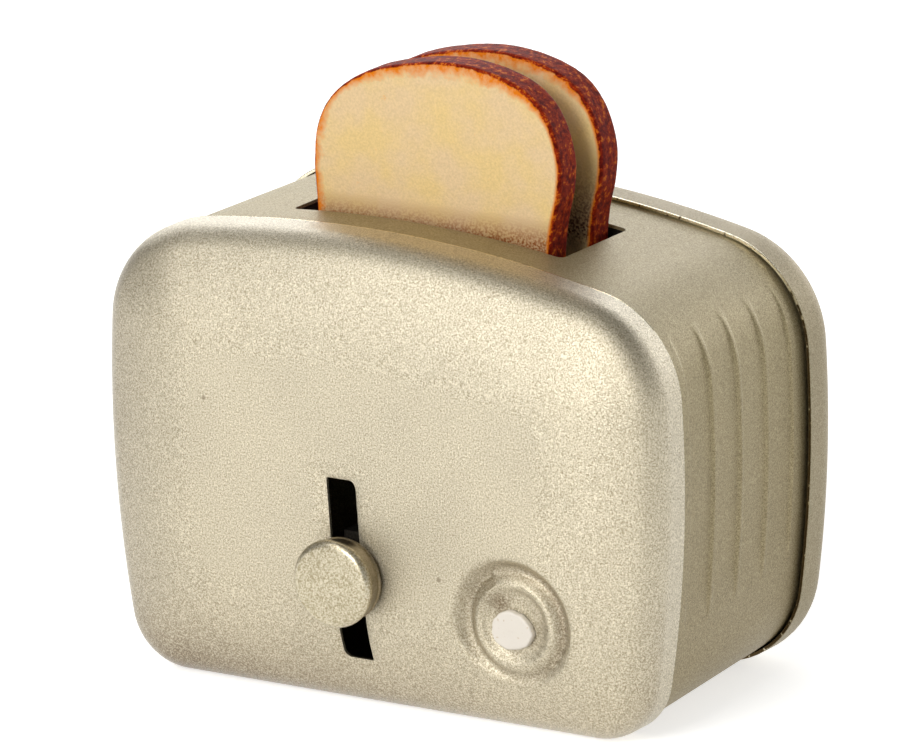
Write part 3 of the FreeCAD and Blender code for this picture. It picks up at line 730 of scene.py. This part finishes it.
def spin(profile, segments):
    """Rows of points of a profile of (radius, y) spun round the stem's axis."""
    rows = []
    for radius, y in profile:
        row = []
        for i in range(segments):
            turn = 2 * math.pi * i / segments
            row.append(Vector((STEM.x + radius * math.cos(turn), y,
                               STEM.z + radius * math.sin(turn))))
        rows.append(row)
    return rows


profile = [(COLLAR_RADIUS - 0.05, FACE_Y - 0.05), (COLLAR_RADIUS, FACE_Y - 0.1),
           (COLLAR_RADIUS, KNOB_BACK), (BACK_RADIUS, KNOB_BACK),
           (BRIM_RADIUS - 0.03, KNOB_BACK - 0.03), (BRIM_RADIUS, KNOB_BACK - 0.12),
           (BRIM_RADIUS - 0.03, KNOB_BACK - 0.2), (BRIM_RADIUS - 0.09, KNOB_BACK - 0.26)]
profile += [(BACK_RADIUS + (FACE_RADIUS - BACK_RADIUS) * s / 5,
             SIDE_START_Y + (SIDE_Y - SIDE_START_Y) * s / 5) for s in range(6)]
profile += [(FACE_RADIUS - EDGE * (1 - math.cos(math.radians(a))),
             SIDE_Y - EDGE * math.sin(math.radians(a))) for a in range(8, 81, 8)]
rim_radius, rim_y = profile[-1]
profile += [(rim_radius * s / 16, KNOB_FRONT + (rim_y - KNOB_FRONT) * (s / 16) ** 2)
            for s in range(15, 0, -1)]
knob = bmesh.new()
stack_rows(knob, spin(profile, KNOB_SEGMENTS), Vector((STEM.x, KNOB_FRONT, STEM.z)))
bmesh.ops.recalc_face_normals(knob, faces=knob.faces)
lever_button = make_piece("lever_button", knob, [button_gold], 50)
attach(lever_button, "lever")
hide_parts("lever_knob")

# %% [markdown]
# The dial's middle is a dab of thick off-white enamel with an uneven edge. Enamel dries with a
# flat top and a rounded rim. It is nearly matt and has tiny dark specks of dust in it, which a
# noise texture gives when only its highest peaks are used.

# %% The dab of enamel
enamel, tree, shader, place = new_finish("off_white_enamel")
dust = speckle(tree, place, 0.3)
speck = ramp(tree, dust, 0.66, 0.74)
wire(tree, shader, {"Base Color": mixed(tree, speck, "#E2DACE", "#C9B79C"),
                    "Normal": raised(tree, dust, 0.3, 0.02),
                    "Roughness": 0.45})

DAB = DIAL + Vector((-0.25, -0.5))
DAB_BACK = FACE_Y + 0.88
DAB_THICK = 0.55
DAB_EDGE = 0.2
DAB_HALF_WIDTH, DAB_HALF_HEIGHT = 1.98, 1.66
DAB_POINTS = 84


def dab_row(inset, y):
    """Uneven outline of the dab, inset mm inside it."""
    row = []
    for i in range(DAB_POINTS):
        turn = 2 * math.pi * i / DAB_POINTS
        swell = 1 + 0.03 * math.cos(3 * turn + 0.6) + 0.012 * math.cos(7 * turn)
        swell += 0.012 * math.cos(11 * turn + 1) + 0.008 * math.cos(17 * turn)
        row.append(Vector((DAB.x + (DAB_HALF_WIDTH * swell - inset) * math.cos(turn), y,
                           DAB.y + (DAB_HALF_HEIGHT * swell - inset) * math.sin(turn))))
    return row


rows = [dab_row(0, DAB_BACK), dab_row(0, DAB_BACK - DAB_THICK + DAB_EDGE)]
for angle in range(15, 91, 15):
    bend = math.radians(angle)
    rows.append(dab_row(DAB_EDGE * (1 - math.cos(bend)),
                        DAB_BACK - DAB_THICK + DAB_EDGE * (1 - math.sin(bend))))
rows += [dab_row(inset, DAB_BACK - DAB_THICK) for inset in (0.5, 0.9, 1.3, 1.6)]
dab = bmesh.new()
stack_rows(dab, rows, Vector((DAB.x, DAB_BACK - DAB_THICK, DAB.y)))
bmesh.ops.recalc_face_normals(dab, faces=dab.faces)
enamel_dab = make_piece("enamel_dab", dab, [enamel], 60)
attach(enamel_dab, "body")
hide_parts("dial_bead")

# %% [markdown]
# A slice of toy bread is a flat loaf shape, 3.1 mm thick, with a crust that is painted round
# its edge. Its outline runs through a row of measured points; a Catmull-Rom curve passes
# through all of them without corners. Each slice is a stack of rows again: the front face grows
# from its middle to the rim, rounds over, runs along the crust and closes on the back. Two
# numbers are kept with each point for the paint: how far it lies from the rim, and how far
# across the crust it is.

# %% The shape of a slice
CRUST = ((-11.8, 41.0), (-11.95, 44.0), (-11.5, 47.4), (-9.75, 50.25), (-6.4, 52.45),
         (-1.95, 53.65), (2.2, 54.05), (6.1, 53.55), (9.4, 52.25), (11.45, 50.0), (12.5, 46.8),
         (12.4, 43.8), (11.55, 39.6))
FOOT_LEFT, FOOT_RIGHT = -11.5, 11.0
SLICE_FOOT = 29.6
SLICE_THICK = 3.1
SLICE_EDGE = 0.5
SLICE_MIDDLE = Vector((1.0, 41.5))
FOOT_CORNER = 1
POINT_SPACING = 0.35


def loaf_row(lower):
    """Closed row of points (x, z) round a slice, from its lower left corner."""
    knots = [Vector((FOOT_LEFT, SLICE_FOOT + FOOT_CORNER))]
    knots += [Vector((x, z - lower)) for x, z in CRUST]
    knots += [Vector((FOOT_RIGHT, SLICE_FOOT + FOOT_CORNER))]
    ends = [knots[0] * 2 - knots[1]] + knots + [knots[-1] * 2 - knots[-2]]
    row = []
    for a, b, c, d in zip(ends, ends[1:], ends[2:], ends[3:]):
        steps = max(4, round((c - b).length / POINT_SPACING))
        for i in range(steps):
            t = i / steps
            row.append((b * 2 + (c - a) * t + (a * 2 - b * 5 + c * 4 - d) * t ** 2
                        + (b * 3 - a - c * 3 + d) * t ** 3) * 0.5)
    for x, turn in ((FOOT_RIGHT - FOOT_CORNER, 0), (FOOT_LEFT + FOOT_CORNER, -90)):
        for step in range(6):
            angle = math.radians(turn - 90 * step / 5)
            row.append(Vector((x + FOOT_CORNER * math.cos(angle),
                               SLICE_FOOT + FOOT_CORNER + FOOT_CORNER * math.sin(angle))))
        if turn == 0:
            row += [Vector((x - (FOOT_RIGHT - FOOT_LEFT - 2 * FOOT_CORNER) * s / 50, SLICE_FOOT))
                    for s in range(1, 50)]
    return row[:-1]


def shrink_row(row, inset):
    """The row moved inward by inset mm."""
    moved = []
    for i, point in enumerate(row):
        along = (row[(i + 1) % len(row)] - row[i - 1]).normalized()
        moved.append(point + Vector((along.y, -along.x)) * inset)
    return moved


FACE_ROWS, EDGE_ROWS, CRUST_ROWS = 22, 6, 10
CRUST_PULL = 0.05
PULL_REACH = 18


def build_slice(name, front_y, shift_x, lower, finish, body, node_name):
    """One slice with rounded crust edges and paint numbers for its finish."""
    row = loaf_row(lower)
    tree_of_rim = KDTree(len(row))
    for i, point in enumerate(row):
        tree_of_rim.insert((point.x, 0, point.y), i)
    tree_of_rim.balance()
    inner = shrink_row(row, SLICE_EDGE)
    face = [[p.lerp(SLICE_MIDDLE, s / FACE_ROWS) for p in inner]
            for s in range(FACE_ROWS - 1, 0, -1)]
    spots = [(r, 0) for r in face]
    bends = [math.radians(90 * s / EDGE_ROWS) for s in range(EDGE_ROWS + 1)]
    spots += [(shrink_row(row, SLICE_EDGE * (1 - math.sin(b))), SLICE_EDGE * (1 - math.cos(b)))
              for b in bends]
    spots += [(row, SLICE_EDGE + (SLICE_THICK - 2 * SLICE_EDGE) * s / CRUST_ROWS)
              for s in range(1, CRUST_ROWS)]
    spots += [(shrink_row(row, SLICE_EDGE * (1 - math.cos(b))),
               SLICE_THICK - SLICE_EDGE * (1 - math.sin(b))) for b in bends]
    spots += [(r, SLICE_THICK) for r in face[::-1]]
    rows = [[Vector((p.x, front_y + depth, p.y)) for p in r] for r, depth in spots]
    bm = bmesh.new()
    stack_rows(bm, rows, Vector((SLICE_MIDDLE.x, front_y + SLICE_THICK, SLICE_MIDDLE.y)))
    tip = bm.verts.new(Vector((SLICE_MIDDLE.x, front_y, SLICE_MIDDLE.y)))
    bm.verts.ensure_lookup_table()
    for i in range(len(row)):
        bm.faces.new((bm.verts[(i + 1) % len(row)], bm.verts[i], tip))
    rim = bm.verts.layers.float.new("from_rim")
    across = bm.verts.layers.float.new("across_crust")
    for vertex in bm.verts:
        spot = vertex.co
        vertex[rim] = tree_of_rim.find((spot.x, 0, spot.z))[2]
        vertex[across] = (spot.y - front_y) / SLICE_THICK
        rough = noise.noise(spot * 1.6) * 0.5 + noise.noise(spot * 4.0) * 0.5
        pull = CRUST_PULL * rough - CRUST_PULL
        if vertex[rim] < SLICE_EDGE:
            spot.x += pull * (spot.x - SLICE_MIDDLE.x) / PULL_REACH
            spot.z += pull * (spot.z - SLICE_MIDDLE.y) / PULL_REACH
        spot.x += shift_x
    bmesh.ops.recalc_face_normals(bm, faces=bm.faces)
    piece = make_piece(name, bm, [finish], 70)
    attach(piece, body)
    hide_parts(node_name)


print("a slice has", len(loaf_row(0)), "points round its edge")

# %% [markdown]
# The crumb is cream paint, fine and matt, with a warm glow near the rim. The crust is dark
# red-brown with bright orange pits and violet-red patches that paint in its soft sheen. It ends
# cleanly in the middle of the rounded rim, and beyond it lies a thin orange line that is wide and
# ragged at the top. All of it comes from the kept numbers: a noise is added to the distance from
# the rim, and that sum is compared with a width. The crumb's grain is about 0.2 mm, the crust's
# mottling about 0.6 mm.

# %% Painted bread
bread, tree, shader, place = new_finish("painted_toy_bread")
rim = add(tree, "Attribute", {}, attribute_name="from_rim").outputs["Fac"]
spot = add(tree, "SeparateXYZ", {"Vector": place}).outputs
ragged = speckle(tree, place, 0.8, 4.0, 0.7)
grain = speckle(tree, place, 0.2)
cloud = speckle(tree, place, 4, 3.0)
mottle = speckle(tree, place, 0.6, 3.0, 0.75)
sheen_patches = speckle(tree, place, 1.3)

# Crumb: cream, with cloudy yellow patches and a fine grain.
patch = ramp(tree, cloud, 0.38, 0.64)
dots = ramp(tree, grain, 0.3, 0.7, 0.92, 1.07)
crumb = scaled(tree, mixed(tree, patch, "#DABE93", "#DDC086"), dots)

# Painted shade: brown speckles in the lowest 2 mm that stand out of the opening, and a darker
# red-brown higher up on the rear slice, between the slices, where they shade each other.
rear_slice_shade = ramp(tree, spot["Y"], -1 * MM, 1 * MM)
speckles_end = ramp(tree, rear_slice_shade, 0, 1, 41.8 * MM, 47.5 * MM)
low_part = ramp(tree, spot["Z"], 39.5 * MM, speckles_end, 1.0, 0.0)
shown = ramp(tree, spot["Z"], 36.5 * MM, 39 * MM)
low_dots = reckon(tree, "MULTIPLY", ramp(tree, grain, 0.38, 0.6, 0.5, 1.0), shown)
low_painted_shade = reckon(tree, "MULTIPLY", low_part, low_dots)
crumb = mixed(tree, low_painted_shade, crumb, mixed(tree, rear_slice_shade, "#86502C", "#3A0E04"))

# A few small orange specks in the crumb.
speck = ramp(tree, speckle(tree, place, 1.6, 5.0, 0.8), 0.66, 0.74, 0.0, 0.6)
crumb = mixed(tree, speck, crumb, "#D88A2C")

# Orange at the rim: a line of 0.35 mm at the right, a broad glow at the top and the left.
swing = ramp(tree, ragged, 0.3, 0.7, 0.5, -0.5)
top_part = ramp(tree, spot["Z"], 49.5 * MM, 52.5 * MM)
left_part = ramp(tree, spot["X"], -8.5 * MM, -10.5 * MM, 0.0, 0.75)
wide_part = reckon(tree, "MAXIMUM", top_part, left_part)
swung = reckon(tree, "MULTIPLY", swing, wide_part)
reach = reckon(tree, "ADD", rim, swung)
width = ramp(tree, wide_part, 0, 1, 0.45, 1.35)
fade = ramp(tree, reach, 0.2, width, 1.0, 0.0)
warm = mixed(tree, fade, crumb, "#D8740C")

# Crust: red-brown and mottled, with violet-red patches as painted sheen, and orange pits.
crust = mixed(tree, ramp(tree, mottle, 0.38, 0.58), "#5C0A02", "#A4300A")
crust = mixed(tree, ramp(tree, sheen_patches, 0.52, 0.72, 0.0, 0.35), crust, "#701C1E")
crust = mixed(tree, ramp(tree, mottle, 0.57, 0.64), crust, "#D06A16")
nibble = ramp(tree, ragged, 0.3, 0.7, 0.07, -0.07)
is_crust = ramp(tree, reckon(tree, "ADD", rim, nibble), 0.24, 0.16)
height = add(tree, "Mix", {FACTOR: is_crust, 2: grain, 3: mottle}).outputs[0]
wire(tree, shader, {"Base Color": mixed(tree, is_crust, warm, crust),
                    "Normal": raised(tree, height, 0.5, 0.08),
                    "Roughness": 0.6,
                    "Specular IOR Level": 0.08})

build_slice("front_slice", -5.1, 0, 0, bread, "slice_front", "bread_slice_front")
build_slice("rear_slice", 1.0, 0.35, 0.2, bread, "slice_rear", "bread_slice_rear")

# %% [markdown]
# The pieces inside keep their solids: flat folded sheet needs no finer mesh. They are bare tin,
# which a doll's toaster never gets painted inside, coloured nearly black as painted shade inside
# the toy. The leaf spring is hardened and bluer.

# %% Finishes for the solids that stay
spring_steel = bare_tin("blue_spring_steel", "#7C828A", "#5C6068", 0.8, 0.7, 0, 0.35)
for name in ("seam_rivets", "bread_well", "bread_carriage", "lever_arm", "arm_rivets",
             "lever_stem"):
    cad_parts[name].data.materials.clear()
    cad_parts[name].data.materials.append(shade_dark_inner_tin)
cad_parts["friction_spring"].data.materials.clear()
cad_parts["friction_spring"].data.materials.append(spring_steel)
print("solids that stay have", shade_dark_inner_tin.name, "and", spring_steel.name)

# %% [markdown]
# The toy stands on a plain pale floor under a white surround. The floor is diffuse and takes
# the toy's shadow. A part of its white is given to the camera and to mirror rays only, so that
# no extra light falls on the toy. Metal shows what stands round it, so each soft lamp has its
# own place to be mirrored: two low cards in front light the flat of the face, a lamp above them
# makes the broad highlight on its upper part, a key from the upper left gives the soft shadow,
# a weak card stands at the right, and two behind the toy run along the crown and the shoulder.

# %% Floor, surround and lamps
FLOOR_GLOW = 0.62
LIGHT_ON_TOY = 0.2
WHITE = (1, 1, 1, 1)

floor_white, tree, shader, place = new_finish("pale_floor")
path = add(tree, "LightPath", {}).outputs
seen = reckon(tree, "ADD", path["Is Camera Ray"], path["Is Glossy Ray"])
seen = reckon(tree, "ADD", seen, path["Is Transmission Ray"], clamp=True)
wire(tree, shader, {"Base Color": linear("#E6E6E4"),
                    "Roughness": 0.9,
                    "Specular IOR Level": 0.0,
                    "Emission Color": WHITE,
                    "Emission Strength": reckon(tree, "MULTIPLY", seen, FLOOR_GLOW)})
ground = bmesh.new()
bmesh.ops.create_grid(ground, x_segments=8, y_segments=8, size=4.0)
ground_mesh = bpy.data.meshes.new("floor")
ground.to_mesh(ground_mesh)
ground.free()
ground_mesh.materials.append(floor_white)
floor = bpy.data.objects.new("floor", ground_mesh)
bpy.context.scene.collection.objects.link(floor)

world = bpy.data.worlds.new("white_surround")
bpy.context.scene.world = world
world.use_nodes = True
tree = world.node_tree
backdrop = tree.nodes["Background"]
path = add(tree, "LightPath", {}).outputs
seen = reckon(tree, "ADD", path["Is Camera Ray"], path["Is Transmission Ray"], clamp=True)
strength = ramp(tree, seen, 0, 1, LIGHT_ON_TOY, 1.0)
wire(tree, backdrop, {"Color": WHITE, "Strength": strength})


def soft_lamp(name, azimuth, elevation, distance, size, power):
    """Square lamp that looks at the toy; azimuth 0 is straight in front, 90 is to the right."""
    turn, rise = math.radians(azimuth), math.radians(elevation)
    way = Vector((math.sin(turn) * math.cos(rise), -math.cos(turn) * math.cos(rise),
                  math.sin(rise)))
    light = bpy.data.lights.new(name, "AREA")
    light.shape = "RECTANGLE"
    light.size = size[0]
    light.size_y = size[1]
    light.energy = power
    lamp = bpy.data.objects.new(name, light)
    lamp.location = way * distance + Vector((0, 0, 0.02))
    lamp.rotation_euler = way.to_track_quat("Z", "Y").to_euler()
    bpy.context.scene.collection.objects.link(lamp)
    print(name, "gives", power, "W from", azimuth, "degrees")


soft_lamp("window", -15, 12, 0.35, (0.13, 0.10), 0.12)
soft_lamp("front_card", 10, 12, 0.35, (0.15, 0.12), 0.1)
soft_lamp("front_lamp", 2, 28, 0.4, (0.14, 0.11), 0.7)
soft_lamp("key", -25, 50, 0.7, (0.4, 0.4), 1.1)
soft_lamp("right_card", 80, 20, 0.7, (0.4, 0.4), 0.2)
soft_lamp("shoulder_card", 160, 14, 0.7, (0.5, 0.25), 1.5)
soft_lamp("back_softbox", 212, 24, 0.7, (0.9, 0.3), 3.0)

# %% [markdown]
# The camera stands where the photograph was taken from: 32 degrees round to the right and 17
# degrees up, about 0.79 m away, with a long lens. These numbers were found by matching the body's
# outline and seams to the picture. It is aimed at the middle of the picture, with no shift.

# %% Camera
AZIMUTH, ELEVATION, ROLL = (math.radians(a) for a in (32.336, 17.398, -1.193))
STAND_MM = Vector((401.87, -633.67, 235.42))
FOCAL_PX = 9187.0
FITTED_FOCAL_PX = 9181.0
MIDDLE_RIGHT_PX, MIDDLE_UP_PX = -31.735, 283.638
SENSOR_MM = 36
PICTURE_PX = 900
back = Vector((math.sin(AZIMUTH) * math.cos(ELEVATION), -math.cos(AZIMUTH) * math.cos(ELEVATION),
               math.sin(ELEVATION)))
level_right = Vector((math.cos(AZIMUTH), math.sin(AZIMUTH), 0))
level_up = back.cross(level_right)
right = level_right * math.cos(ROLL) + level_up * math.sin(ROLL)
up = level_up * math.cos(ROLL) - level_right * math.sin(ROLL)
aim = -back + right * (MIDDLE_RIGHT_PX / FITTED_FOCAL_PX) + up * (MIDDLE_UP_PX / FITTED_FOCAL_PX)
back = -aim.normalized()
right = (right - back * right.dot(back)).normalized()
up = back.cross(right)
place = (STAND_MM + FRAME_SHIFT) * MM
turned = Matrix((right, up, back)).transposed().to_4x4()
lens = bpy.data.cameras.new("camera")
lens.sensor_width = SENSOR_MM
lens.lens = FOCAL_PX * SENSOR_MM / PICTURE_PX
lens.clip_start = 0.01
camera = bpy.data.objects.new("camera", lens)
camera.matrix_world = Matrix.Translation(place) @ turned
bpy.context.scene.collection.objects.link(camera)
bpy.context.scene.camera = camera
bpy.context.scene.view_settings.view_transform = "Standard"
print("camera", round(place.length, 3), "m away with a lens of", round(lens.lens, 1), "mm")
